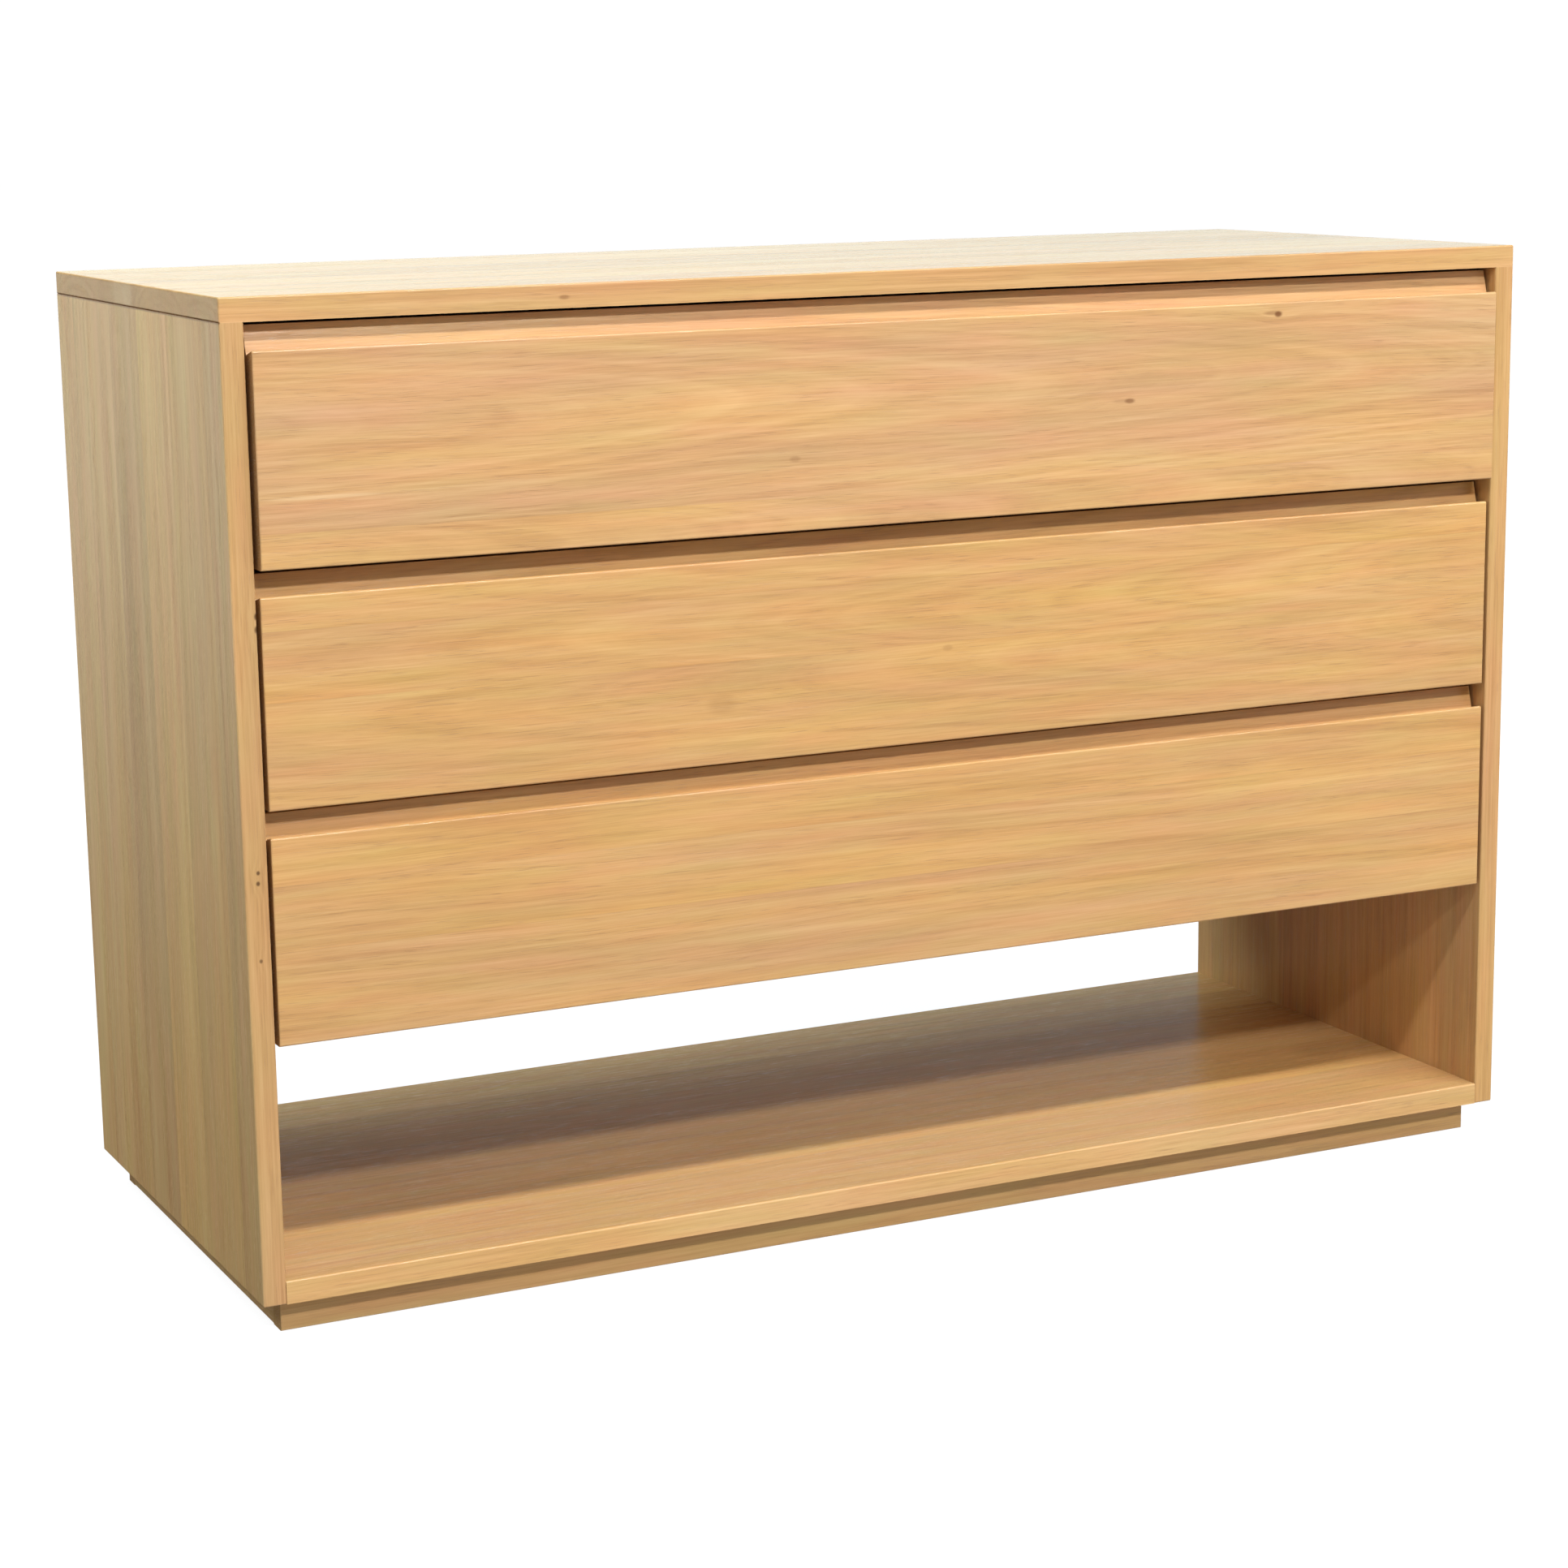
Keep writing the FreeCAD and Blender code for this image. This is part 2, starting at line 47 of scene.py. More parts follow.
RING_SPACING = 0.0052                    # metres
RINGS = Noise(1.0 / RING_SPACING, 3.0, 0.6, 0.34)
BANDS = Noise(0.18 / RING_SPACING, 1.0, 0.5, 0.22)
FLECK = Noise((4.5, 190.0, 190.0), 2.0, 0.5, 0.36)
FIBRE = Noise((6.0, 420.0, 420.0), 3.0, 0.6, 0.36)
FINE_FIBRE = Noise((20.0, 1000.0, 1000.0), 2.0, 0.6, 0.38)
DRIFT = Noise((3.2, 24.0, 24.0), 3.0, 0.55, 0.36)
PORES = Noise((50.0, 1250.0, 1250.0), 1.0, 0.5)
HUE_DRIFT = Noise((3.0, 26.0, 26.0), 2.0, 0.5)
FLUSH = Noise((9.0, 60.0, 60.0), 1.0, 0.5)
WANDER = Noise((2.0, 9.0, 9.0), 1.0, 0.4)
VENEER_FIBRE = Noise((6.0, 420.0, 420.0), 3.0, 0.6, 0.60)
VENEER_FINE_FIBRE = Noise((20.0, 1000.0, 1000.0), 2.0, 0.6, 0.35)
VENEER_DRIFT = Noise((3.2, 24.0, 24.0), 1.0, 0.5, 0.50)
BEECH_FLECK = Noise((420.0, 420.0, 420.0), 2.0, 0.6)
BEECH_CLOUD = Noise((60.0, 60.0, 60.0), 1.0, 0.5)
RAIL_ROLLING = Noise((900.0, 14.0, 900.0), 2.0, 0.6)
SCREW_ROLLING = Noise((700.0, 700.0, 700.0), 2.0, 0.6)
PLATING = Noise((90.0, 90.0, 90.0), 3.0, 0.6)
FLOOR_CLOUD = Noise((1.5, 1.5, 1.5), 3.0, 0.5)

# Colours of the wood
OAK_DARK = (0.405, 0.212, 0.082, 1.0)
OAK_MIDDLE = (0.590, 0.348, 0.148, 1.0)
OAK_LIGHT = (0.715, 0.462, 0.225, 1.0)
OAK_RAMP = ((0.10, OAK_DARK), (0.50, OAK_MIDDLE), (0.90, OAK_LIGHT))
PORE_COLOUR = (0.330, 0.165, 0.062, 1.0)
KNOT_COLOUR = (0.170, 0.062, 0.022, 1.0)
HOLE_COLOUR = (0.090, 0.040, 0.018, 1.0)
PALE_COLOUR = (0.800, 0.600, 0.360, 1.0)
BEECH_RAMP = ((0.3, (0.42, 0.25, 0.13, 1.0)), (0.7, (0.62, 0.42, 0.25, 1.0)))
PLAIN_TINT = (1.0, 1.0, 1.0)
RIGHT_SIDE_TINT = (1.10, 1.08, 1.04)
SHELF_TINT = (1.10, 1.11, 1.03)
UPPER_FRONT_TINT = (1.00, 1.00, 1.06)
MIDDLE_FRONT_TINT = (1.00, 0.98, 0.93)
LOWER_FRONT_TINT = (1.00, 0.98, 0.94)
BOX_TINT = (1.06, 1.12, 1.25)

# How the boards of a panel differ
SEED_ALONG = 9.7                         # metres along the pattern for a full step of a board's seed
SEED_ACROSS = 3.3
WIDTH_SPREAD = (0.8, 1.2)                # over the mean width of the boards
TONE_SPREAD = (0.3, 0.7)
DARKEST_BOARD = 0.88
LIGHTEST_BOARD = 1.12
BLUSH_SHIFT = (-0.12, -0.11, 0.165)      # what a full step of blush does to red, green and blue
FLUSH_SHIFT = (0.13, -0.114, 0.02)
JOINT_LINE = 0.0005                      # half the width of the line between two glued boards
JOINT_STRENGTH = 0.22

# Surface of solid oak: a pair of bounds gives the values where something begins and is complete
PORE_BOUNDS = (0.56, 0.70)
PORE_ROOM = (0.62, 0.40)                 # pores crowd in the dark part of a ring
FEWEST_PORES = 0.15
PORE_STRENGTH = 0.42
END_BOUNDS = (0.6, 0.9)                  # how squarely a face crosses the grain
END_SHADE = 0.42                         # how dark end grain is
FRONT_END_GRAIN_AND_PAINTED_SHADE = 0.80                   # how dark the sawn ends of the drawer fronts are: end grain, darkened further as painted shade of the gaps beside the fronts
# Arrises are lightened: partly rubbed wear, partly a painted highlight of the light caught by their
# rounding
RUBBED_AND_HIGHLIT_BOUNDS = (0.995, 0.90)
RUBBED_AND_HIGHLIT_RADIUS = 0.0018
RUBBED_AND_HIGHLIT_STRENGTH = 0.13
LACQUER_ROUGHNESS = 0.16
FIBRE_ROUGHNESS = 0.10
PORE_ROUGHNESS = 0.18
LACQUER_IOR = 1.46
LACQUER_SPECULAR = 0.5
LACQUER_RELIEF = 0.35
FIBRE_HEIGHT = 0.35                      # over the depth of a pore
WOOD_RELIEF_DEPTH = 0.0002

# Marks in the wood
MARK_CORE = 0.35                         # the share of a mark's radius that has its full strength
SWIRL_REACH = 6.0                        # how far rings bend round a mark, in radii of the mark
SWIRL_STRENGTH = 1.2

# Plywood and beech
BACK_PLY = 0.0012
BOTTOM_PLY = 0.0016
PLY_CHANGE = (0.35, 0.65)                # where one ply gives way to the next, in plies
PLY_EDGE_BOUNDS = (0.7, 0.4)
VENEER_ROUGHNESS = 0.45
BEECH_ROUGHNESS = 0.5
BARE_ROUGHNESS_SPREAD = 0.2
VENEER_RELIEF = 0.25
BEECH_RELIEF = 0.3

# Zinc plated steel
RAIL_ZINC = (0.70, 0.71, 0.72)
SCREW_ZINC = (0.56, 0.56, 0.55)
RUBBED_ZINC = (0.86, 0.86, 0.86, 1.0)
DULL_ZINC = 0.88                         # how bright the dull clouds are, over the bright ones
PLATING_BOUNDS = (0.3, 0.7)
ZINC_EDGE_RADIUS = 0.0006
ZINC_EDGE_STRENGTH = 0.35
ZINC_METALLIC = 0.7
ZINC_ROUGHNESS = 0.30
ROLLING_ROUGHNESS = 0.16
PLATING_ROUGHNESS = 0.06
ZINC_RELIEF = 0.15
ZINC_RELIEF_DEPTH = 0.0001

# Floor and dome
BACKDROP_RADIUS = 40.0
BACKDROP_SEGMENTS = 64
BACKDROP_DARK = (0.15, 0.15, 0.15, 1.0)
BACKDROP_LIGHT = (0.17, 0.17, 0.17, 1.0)
BACKDROP_ROUGHNESS = 0.9
GLOW_DISTANCES = (0.6, 3.0)              # where the glow begins to grow, and where it is full
NEAR_GLOW = 0.90
FAR_GLOW = 1.0

# Lights: names, how far aside they hang, and watts
HIGH_STRIPS = (("left", -0.6, 80.0), ("middle", 0.0, 165.0), ("right", 0.6, 180.0))
STRIP_DISTANCE = 7.0
STRIP_LENGTH = 4.0
COOL = (0.72, 0.88, 0.96)

# Colours of the room round the chest
DARK_ROOM = (0.010, 0.010, 0.010, 1.0)
FRONT_WALL = (0.46, 0.45, 0.43, 1.0)
NEAR_FLOOR = (0.70, 0.69, 0.67, 1.0)
FAR_FLOOR = (0.22, 0.215, 0.21, 1.0)
REAR_WALL = (0.84, 1.00, 1.04, 1.0)
WINDOW_GLOW = (0.95, 1.27, 1.34, 1.0)
REAR_FLOOR = (0.52, 0.56, 0.56, 1.0)

# Where the parts of the room meet, by how steep the view of them is: 0 is level, 1 is straight up
WALL_FOOT = (0.04, 0.12)
WALL_HEAD = (0.44, 0.36)
HORIZON = (0.02, -0.02)
FLOOR_NEARS = (-0.25, -0.55)
REAR_WALL_HEAD = (0.24, 0.18)
WINDOW_HEAD = (0.12, 0.08)
REAR_FLOOR_ENDS = (-0.04, -0.30)
REAR_LEFT_END = (-0.15, 0.10)            # by how far the view turns to the right
FRONT_MEETS_REAR = (-0.15, 0.15)         # by how far the view turns to the back

# A board's share of the panel's width, its tone from dark 0 to light 1 and its blush from yellowish 0
# to pinkish 1, its own place in the pattern, and where the heart of its log lies across the panel
Board = namedtuple("Board", "share tone blush seed heart")

# How far growth rings wander, how fast they widen along the board, how deep the heart lies, and how
# far yellowish and pinkish stretches differ
Figure = namedtuple("Figure", "wander taper depth swing")

# A knot, streak, line of painted shade along a joint or small hole: its place, radius, length over its
# width, strength and colour, and the axis that its length lies along, if that isn't the grain
Mark = namedtuple("Mark", "place radius stretch strength colour axis", defaults=(KNOT_COLOUR, None))

NARROWING = Figure(0.019, 0.050, 0.050, 1.8)  # arches that close towards the right
WIDENING = Figure(0.019, -0.050, 0.050, 1.8)
FLAT_SAWN = Figure(0.021, 0.014, 0.055, 1.8)
CALM = Figure(0.016, 0.006, 0.120, 0.9)


class Shading:
    """Adds shader nodes to a material or a world and joins them."""

    def __init__(self, tree):
        self.nodes = tree.nodes
        self.links = tree.links

    def feed(self, socket, value):
        """Joins a socket to another node's output, or gives it a fixed value."""
        if isinstance(value, bpy.types.NodeSocket):
            self.links.new(value, socket)
        else:
            socket.default_value = value

    def node(self, kind, values=(), **settings):
        """A new node, with its settings, whose first inputs take the values in turn."""
        made = self.nodes.new(kind)
        for name, value in settings.items():
            setattr(made, name, value)
        for socket, value in zip(made.inputs, values):
            self.feed(socket, value)
        return made

    def maths(self, operation, *values):
        return self.node("ShaderNodeMath", values, operation=operation).outputs[0]

    def parts(self, vector):
        outputs = self.node("ShaderNodeSeparateXYZ", (vector,)).outputs
        return outputs[0], outputs[1], outputs[2]

    def colour_parts(self, colour):
        outputs = self.node("ShaderNodeSeparateColor", (colour,)).outputs
        return outputs[0], outputs[1], outputs[2]

    def vector(self, x, y, z):
        return self.node("ShaderNodeCombineXYZ", (x, y, z)).outputs[0]

    def vector_maths(self, operation, first, second):
        return self.node("ShaderNodeVectorMath", (first, second), operation=operation).outputs["Vector"]

    def length(self, vector):
        return self.node("ShaderNodeVectorMath", (vector,), operation="LENGTH").outputs["Value"]

    def noise(self, vector, kind):
        """Noise in space."""
        scaled = self.vector_maths("MULTIPLY", vector, kind.frequency)
        made = self.node("ShaderNodeTexNoise", noise_dimensions="3D")
        self.feed(made.inputs["Vector"], scaled)
        made.inputs["Scale"].default_value = 1.0
        return self.finished_noise(made, kind)

    def noise_along(self, value, kind):
        """Noise that changes only with one value, such as a distance."""
        made = self.node("ShaderNodeTexNoise", noise_dimensions="1D")
        self.feed(made.inputs["W"], value)
        made.inputs["Scale"].default_value = kind.frequency
        return self.finished_noise(made, kind)

    def finished_noise(self, made, kind):
        made.inputs["Detail"].default_value = kind.detail
        made.inputs["Roughness"].default_value = kind.roughness
        return made.outputs["Fac"]

    def reach(self, value, low, high, first=0.0, last=1.0, course="SMOOTHSTEP"):
        """Runs from first to last while the value goes from low to high."""
        values = (value, low, high, first, last)
        return self.node("ShaderNodeMapRange", values, interpolation_type=course).outputs[0]

    def ramp(self, factor, stops, interpolation="LINEAR"):
        """Colours by value; gives the colour and the alpha."""
        made = self.node("ShaderNodeValToRGB", (factor,))
        made.color_ramp.interpolation = interpolation
        elements = made.color_ramp.elements
        while len(elements) > 1:
            elements.remove(elements[-1])
        elements[0].position = stops[0][0]
        elements[0].color = stops[0][1]
        for position, colour in stops[1:]:
            elements.new(position).color = colour
        return made.outputs["Color"], made.outputs["Alpha"]

    def mix(self, factor, first, second, blend="MIX"):
        made = self.node("ShaderNodeMix", data_type="RGBA", blend_type=blend)
        self.feed(made.inputs["Factor"], factor)
        self.feed(made.inputs[6], first)
        self.feed(made.inputs[7], second)
        return made.outputs[2]

    def stain(self, amount, strength, colour, over):
        """Mixes a colour over another by an amount, at most up to a strength."""
        return self.mix(self.maths("MULTIPLY", amount, strength), over, colour)


class Finish(Shading):
    """A material being made, with its surface shader."""

    def __init__(self, name):
        self.material = bpy.data.materials.new(name)
        self.material.use_nodes = True
        super().__init__(self.material.node_tree)
        self.shader = self.nodes["Principled BSDF"]

    def surface(self, entry, value):
        self.feed(self.shader.inputs[entry], value)

    def place(self):
        """The point on the piece, in the shared frame."""
        return self.node("ShaderNodeTexCoord").outputs["Object"]

    def normal(self):
        return self.node("ShaderNodeNewGeometry").outputs["Normal"]

    def facing(self, axis):
        """1 where the surface faces along an axis, 0 where it lies along it."""
        return self.maths("ABSOLUTE", self.parts(self.normal())[axis])

    # The mask for lighter arrises, which on oak are partly a painted highlight
    def rubbed_and_highlit_edges(self, radius):
        """1 on arrises, falling to 0 on flat faces."""
        soft = self.node("ShaderNodeBevel", samples=4)
        soft.inputs["Radius"].default_value = radius
        normals = (soft.outputs[0], self.normal())
        likeness = self.node("ShaderNodeVectorMath", normals, operation="DOT_PRODUCT").outputs["Value"]
        return self.reach(likeness, *RUBBED_AND_HIGHLIT_BOUNDS)

    def bump(self, height, strength, distance):
        made = self.node("ShaderNodeBump")
        made.inputs["Strength"].default_value = strength
        made.inputs["Distance"].default_value = distance
        self.feed(made.inputs["Height"], height)
        self.surface("Normal", made.outputs["Normal"])


def mark_strength(finish, point, mark, grain):
    """The distance from a mark, and how much it colours the point: 0 outside its radius."""
    away = finish.vector_maths("SUBTRACT", point, mark.place)
    scale = [1.0, 1.0, 1.0]
    scale[AXES.index(mark.axis or grain)] = 1.0 / mark.stretch
    distance = finish.length(finish.vector_maths("MULTIPLY", away, scale))
    return distance, finish.reach(distance, MARK_CORE * mark.radius, mark.radius, mark.strength, 0.0)


def glue_lines(finish, share, boards, width):
    """1 on the lines between boards."""
    dark = (0.0, 0.0, 0.0, 1.0)
    light = (1.0, 1.0, 1.0, 1.0)
    half = JOINT_LINE / width
    stops = [(0.0, dark)]
    place = 0.0
    for board in boards[:-1]:
        place += board.share
        stops += [(place - half, dark), (place, light), (place + half, dark)]
    return finish.ramp(share, stops)[0]


def board_values(finish, share, boards):
    """Tone, blush, seed and heart of the board at a share of the panel's width."""
    stops = []
    place = 0.0
    for board in boards:
        stops.append((place, (board.tone, board.blush, board.seed, board.heart)))
        place += board.share
    colour, heart = finish.ramp(share, stops, "CONSTANT")
    tone, blush, seed = finish.colour_parts(colour)
    return tone, blush, seed, heart


def wood_colour(finish, patterns):
    """Adds up patterns, each with its own contrast round the middle, and colours their sum."""
    value = 0.5
    for pattern, kind in patterns:
        part = finish.maths("MULTIPLY_ADD", pattern, kind.contrast, -0.5 * kind.contrast)
        value = finish.maths("ADD", value, part)
    return finish.ramp(value, OAK_RAMP)[0]


def board_tint(finish, tone, blush, flush, tint):
    """What a board's tone, and its yellowish and pinkish stretches, do to the colour of the wood."""
    made = finish.node("ShaderNodeCombineColor")
    for part, socket in enumerate(made.inputs):
        darkest = DARKEST_BOARD * tint[part]
        lightest = LIGHTEST_BOARD * tint[part]
        factor = finish.reach(tone, 0.0, 1.0, darkest, lightest, "LINEAR")
        blushed = finish.maths("MULTIPLY_ADD", blush, BLUSH_SHIFT[part], 1.0)
        flushed = finish.maths("MULTIPLY_ADD", flush, FLUSH_SHIFT[part], blushed)
        finish.feed(socket, finish.maths("MULTIPLY", factor, flushed))
    return made.outputs[0]


def lacquer(finish, pore, fibre, fine):
    """Satin lacquer that sinks into the pores."""
    rough = finish.maths("MULTIPLY_ADD", fibre, FIBRE_ROUGHNESS, LACQUER_ROUGHNESS)
    finish.surface("Roughness", finish.maths("MULTIPLY_ADD", pore, PORE_ROUGHNESS, rough))
    finish.surface("IOR", LACQUER_IOR)
    finish.surface("Specular IOR Level", LACQUER_SPECULAR)
    height = finish.maths("MULTIPLY_ADD", pore, -1.0, finish.maths("MULTIPLY", fine, FIBRE_HEIGHT))
    finish.bump(height, LACQUER_RELIEF, WOOD_RELIEF_DEPTH)


# The darkness of end grain may also carry painted shade, as it does on the drawer fronts
def oak(name, node, grain, across, boards, figure=FLAT_SAWN, marks=(), tint=PLAIN_TINT,
        end_grain_and_painted_shade=END_SHADE):
    """Solid oak, glued from boards, each with its own tone and figure."""
    finish = Finish(name)
    low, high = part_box(node)
    along = AXES.index(grain)
    cross = AXES.index(across)
    through = 3 - along - cross
    width = high[cross] - low[cross]
    point = finish.place()
    coordinates = finish.parts(point)
    u, v, w = coordinates[along], coordinates[cross], coordinates[through]
    share = finish.reach(v, low[cross], high[cross], course="LINEAR")
    tone, blush, seed, heart = board_values(finish, share, boards)

    # Each board has its own place in the pattern
    u_own = finish.maths("MULTIPLY_ADD", seed, SEED_ALONG, u)
    v_own = finish.maths("MULTIPLY_ADD", seed, SEED_ACROSS, v)
    own = finish.vector(u_own, v_own, w)
    wander = finish.maths("SUBTRACT", finish.noise(own, WANDER), 0.5)
    v_bent = finish.maths("MULTIPLY_ADD", wander, figure.wander, v_own)
    bent = finish.vector(u_own, v_bent, w)

    # Growth rings round the heart of the log, which bend round the marks
    heart_place = finish.maths("MULTIPLY_ADD", heart, width, low[cross])
    aside = finish.maths("SUBTRACT", v, heart_place)
    aside = finish.maths("MULTIPLY_ADD", wander, figure.wander, aside)
    deep = finish.maths("ADD", w, figure.depth - low[through])
    radius = finish.length(finish.vector(aside, deep, 0.0))
    radius = finish.maths("MULTIPLY_ADD", u_own, figure.taper, radius)
    strengths = []
    for mark in marks:
        distance, strength = mark_strength(finish, point, mark, grain)
        strengths.append(strength)
        most = SWIRL_STRENGTH * mark.radius * mark.strength
        swirl = finish.reach(distance, 0.0, SWIRL_REACH * mark.radius, most, 0.0)
        radius = finish.maths("ADD", radius, swirl)
    rings = finish.noise_along(radius, RINGS)
    bands = finish.noise_along(radius, BANDS)

    # Fibres, pores and the colour of each board
    fleck = finish.noise(bent, FLECK)
    fibre = finish.noise(bent, FIBRE)
    fine = finish.noise(bent, FINE_FIBRE)
    drift = finish.noise(bent, DRIFT)
    patterns = ((rings, RINGS), (bands, BANDS), (fleck, FLECK), (fibre, FIBRE), (fine, FINE_FIBRE),
                (drift, DRIFT))
    colour = wood_colour(finish, patterns)
    blush = finish.maths("SUBTRACT", blush, 0.5 + figure.swing / 2)
    blush = finish.maths("MULTIPLY_ADD", finish.noise(bent, HUE_DRIFT), figure.swing, blush)
    flush = finish.maths("SUBTRACT", finish.noise(own, FLUSH), 0.5)
    colour = finish.mix(1.0, colour, board_tint(finish, tone, blush, flush, tint), "MULTIPLY")
    pore_room = finish.reach(rings, *PORE_ROOM, FEWEST_PORES, 1.0)
    pore = finish.reach(finish.noise(bent, PORES), *PORE_BOUNDS)
    pore = finish.maths("MULTIPLY", pore, pore_room)
    colour = finish.stain(pore, PORE_STRENGTH, PORE_COLOUR, colour)
    if len(boards) > 1:
        lines = glue_lines(finish, share, boards, width)
        colour = finish.stain(lines, JOINT_STRENGTH, PORE_COLOUR, colour)

    # End grain is darker, on the drawer fronts darker still as painted shade of the gaps beside them,
    # and arrises are lighter: partly rubbed, partly a painted highlight
    end = finish.reach(finish.facing(along), *END_BOUNDS)
    colour = finish.stain(end, end_grain_and_painted_shade, PORE_COLOUR, colour)
    colour = finish.stain(finish.rubbed_and_highlit_edges(RUBBED_AND_HIGHLIT_RADIUS), RUBBED_AND_HIGHLIT_STRENGTH, OAK_LIGHT, colour)
    for mark, strength in zip(marks, strengths):
        colour = finish.mix(strength, colour, mark.colour)
    finish.surface("Base Color", colour)
    lacquer(finish, pore, fibre, fine)
    return finish.material


def random_boards(count, seed):
    """Boards of slightly different width and tone, the same each time."""
    chance = random.Random(seed)
    widths = [chance.uniform(*WIDTH_SPREAD) for _ in range(count)]
    whole = sum(widths)
    boards = []
    for width in widths:
        tone = chance.uniform(*TONE_SPREAD)
        blush = chance.uniform(*TONE_SPREAD)
        place = chance.random()
        heart = chance.uniform(0.0, 1.0)
        boards.append(Board(width / whole, tone, blush, place, heart))
    return boards


def plywood(name, node, grain, across, through, ply):
    """Oak veneer on the faces, plies in turn on the edges."""
    finish = Finish(name)
    along, cross, deep = AXES.index(grain), AXES.index(across), AXES.index(through)
    coordinates = finish.parts(finish.place())
    flat = finish.vector(coordinates[along], coordinates[cross], 0.0)
    fibre = finish.noise(flat, VENEER_FIBRE)
    fine = finish.noise(flat, VENEER_FINE_FIBRE)
    drift = finish.noise(flat, VENEER_DRIFT)
    patterns = ((fibre, VENEER_FIBRE), (fine, VENEER_FINE_FIBRE), (drift, VENEER_DRIFT))
    face = wood_colour(finish, patterns)
    depth = finish.maths("SUBTRACT", coordinates[deep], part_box(node)[0][deep])
    layer = finish.maths("PINGPONG", depth, ply)
    layer = finish.reach(layer, PLY_CHANGE[0] * ply, PLY_CHANGE[1] * ply)
    core = finish.mix(layer, OAK_DARK, OAK_LIGHT)
    edge = finish.reach(finish.facing(deep), *PLY_EDGE_BOUNDS)
    finish.surface("Base Color", finish.mix(edge, face, core))
    rough = finish.maths("MULTIPLY_ADD", fibre, BARE_ROUGHNESS_SPREAD, VENEER_ROUGHNESS)
    finish.surface("Roughness", rough)
    finish.bump(fine, VENEER_RELIEF, WOOD_RELIEF_DEPTH)
    return finish.material


def beech():
    """Bare beech dowels, with short flecks."""
    finish = Finish("beech")
    point = finish.place()
    fleck = finish.noise(point, BEECH_FLECK)
    cloud = finish.noise(point, BEECH_CLOUD)
    value = finish.maths("MULTIPLY_ADD", cloud, 0.5, finish.maths("MULTIPLY", fleck, 0.5))
    finish.surface("Base Color", finish.ramp(value, BEECH_RAMP)[0])
    rough = finish.maths("MULTIPLY_ADD", fleck, BARE_ROUGHNESS_SPREAD, BEECH_ROUGHNESS)
    finish.surface("Roughness", rough)
    finish.bump(fleck, BEECH_RELIEF, WOOD_RELIEF_DEPTH)
    return finish.material


def zinc(name, base, rolling):
    """Zinc plated steel, with faint lines from rolling and a cloudy plating."""
    finish = Finish(name)
    point = finish.place()
    lines = finish.noise(point, rolling)
    cloud = finish.noise(point, PLATING)
    dull = tuple(DULL_ZINC * part for part in base) + (1.0,)
    bright = base + (1.0,)
    colour = finish.mix(finish.reach(cloud, *PLATING_BOUNDS), dull, bright)
    edge = finish.rubbed_and_highlit_edges(ZINC_EDGE_RADIUS)
    finish.surface("Base Color", finish.stain(edge, ZINC_EDGE_STRENGTH, RUBBED_ZINC, colour))
    finish.surface("Metallic", ZINC_METALLIC)
    rough = finish.maths("MULTIPLY_ADD", lines, ROLLING_ROUGHNESS, ZINC_ROUGHNESS)
    finish.surface("Roughness", finish.maths("MULTIPLY_ADD", cloud, PLATING_ROUGHNESS, rough))
    finish.bump(lines, ZINC_RELIEF, ZINC_RELIEF_DEPTH)
    return finish.material


def dress(node, material):
    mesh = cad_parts[node].data
    mesh.materials.clear()
    mesh.materials.append(material)
    for face in mesh.polygons:
        face.material_index = 0


def on_face(corner, from_left, from_bottom):
    """A place on a piece's front face, from the lower left corner of the face."""
    return corner.x + from_left, corner.y, corner.z + from_bottom


def knots_of_the_upper_front():
    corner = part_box("upper_drawer_front")[0]
    return (
        Mark(on_face(corner, 0.9602, 0.1637), 0.0036, 1.5, 0.85),
        Mark(on_face(corner, 0.9545, 0.1650), 0.0026, 5.0, 0.40),
        Mark(on_face(corner, 0.8042, 0.0936), 0.0030, 2.4, 0.62),
        Mark(on_face(corner, 0.7965, 0.0941), 0.0024, 6.0, 0.22),
        Mark(on_face(corner, 0.4730, 0.0615), 0.0036, 2.0, 0.26),
        Mark(on_face(corner, 0.0565, 0.0560), 0.0022, 30.0, 0.34, PALE_COLOUR),
    )


def knots_of_the_middle_front():
    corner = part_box("middle_drawer_front")[0]
    return (
        Mark(on_face(corner, 0.4038, 0.0519), 0.0120, 1.6, 0.15),
        Mark(on_face(corner, 0.6231, 0.0826), 0.0036, 2.0, 0.20),
    )


def marks_of_the_left_side():
    """Small filled holes and chips on the panel's front edge, and painted shade along the joint above
    it.
    """
    corner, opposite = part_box("left_side_panel")
    thickness = opposite.x - corner.x
    return (
        Mark(on_face(corner, 0.0118, 0.3679), 0.0021, 1.2, 0.85, HOLE_COLOUR),
        Mark(on_face(corner, 0.0114, 0.3592), 0.0023, 1.2, 0.85, HOLE_COLOUR),
        Mark(on_face(corner, 0.0110, 0.2946), 0.0020, 1.2, 0.70, HOLE_COLOUR),
        Mark(on_face(corner, thickness, 0.5766), 0.0028, 1.5, 0.90, HOLE_COLOUR),
        Mark(on_face(corner, thickness, 0.5661), 0.0030, 1.5, 0.90, HOLE_COLOUR),
        painted_shade_under_the_top(),
    )


def painted_shade_under_the_top():
    """Painted shade in the joint of the top with the left side: a dark line along it."""
    low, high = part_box("left_side_panel")
    # A dark line of painted shade in the seam between the two panels
    return Mark((low.x, (low.y + high.y) / 2, high.z), 0.0018, 400.0, 0.62, KNOT_COLOUR, "y")


